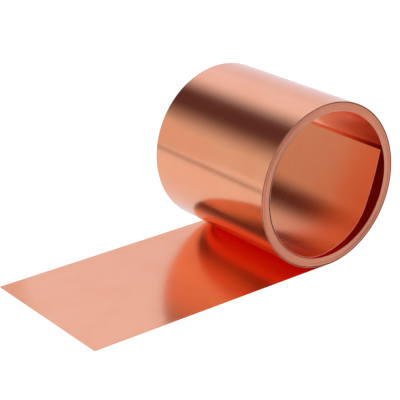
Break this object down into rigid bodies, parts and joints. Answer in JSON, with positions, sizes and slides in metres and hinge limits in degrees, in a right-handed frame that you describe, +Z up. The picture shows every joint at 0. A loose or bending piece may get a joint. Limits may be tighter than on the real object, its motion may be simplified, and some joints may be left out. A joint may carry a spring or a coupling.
{
  "type": "copper foil roll",
  "caption": "Roll of bare polished copper foil strip, wound without a core, with its outer end rolled out flat and its inner end sprung loose in the open bore.",
  "frame": {"origin": "on the surface that the roll stands on, straight below the middle of the roll's axis, where the flat end of the strip runs into the outer turn", "axes": "+Z up; +X along the roll's axis; the strip's outer end lies flat towards -Y; seen from +X the strip runs from its outer end anticlockwise into the roll"},
  "size_m": [0.1, 0.2123, 0.0993],
  "materials": {
    "copper_strip": "polished"
  },
  "bodies": {
    "tail": {"tail_sheet": "copper_strip"},
    "tail_end": {"tail_end": "copper_strip"},
    "outer": {"outer_turn": "copper_strip"},
    "coil": {"wound_turn_02": "copper_strip", "wound_turn_03": "copper_strip", "wound_turn_04": "copper_strip", "wound_turn_05": "copper_strip", "wound_turn_06": "copper_strip", "wound_turn_07": "copper_strip", "wound_turn_08": "copper_strip", "wound_turn_09": "copper_strip", "wound_turn_10": "copper_strip", "wound_turn_11": "copper_strip", "wound_turn_12": "copper_strip", "wound_turn_13": "copper_strip", "wound_turn_14": "copper_strip", "wound_turn_15": "copper_strip", "wound_turn_16": "copper_strip", "wound_turn_17": "copper_strip", "wound_turn_18": "copper_strip", "wound_turn_19": "copper_strip", "wound_turn_20": "copper_strip", "wound_turn_21": "copper_strip", "inner_turn": "copper_strip"},
    "inner_end": {"inner_end": "copper_strip"}
  },
  "joints": [
    {"name": "roll_along", "type": "slide", "parent": "tail", "child": "outer", "axis": [0, -1, 0], "range_m": [0, 0.08], "deforming": ["tail_sheet"]},
    {"name": "coil_spin", "type": "hinge", "parent": "outer", "child": "coil", "pos_m": [0, 0, 0.0497], "axis": [1, 0, 0], "range_deg": [0, 92.3]},
    {"name": "inner_end_flex", "type": "hinge", "parent": "coil", "child": "inner_end", "pos_m": [0, -0.01918, 0.0108], "axis": [1, 0, 0], "range_deg": [0, 20], "stiffness_Nm_per_rad": 0.3, "springref_deg": 1.15},
    {"name": "tail_end_lift", "type": "hinge", "parent": "tail", "child": "tail_end", "pos_m": [0, -0.11785, 0.0001], "axis": [-1, 0, 0], "range_deg": [0, 60]}
  ],
  "couplings": [
    {"joint": "coil_spin", "follows": "roll_along", "rad_per_m": 20.121}
  ]
}
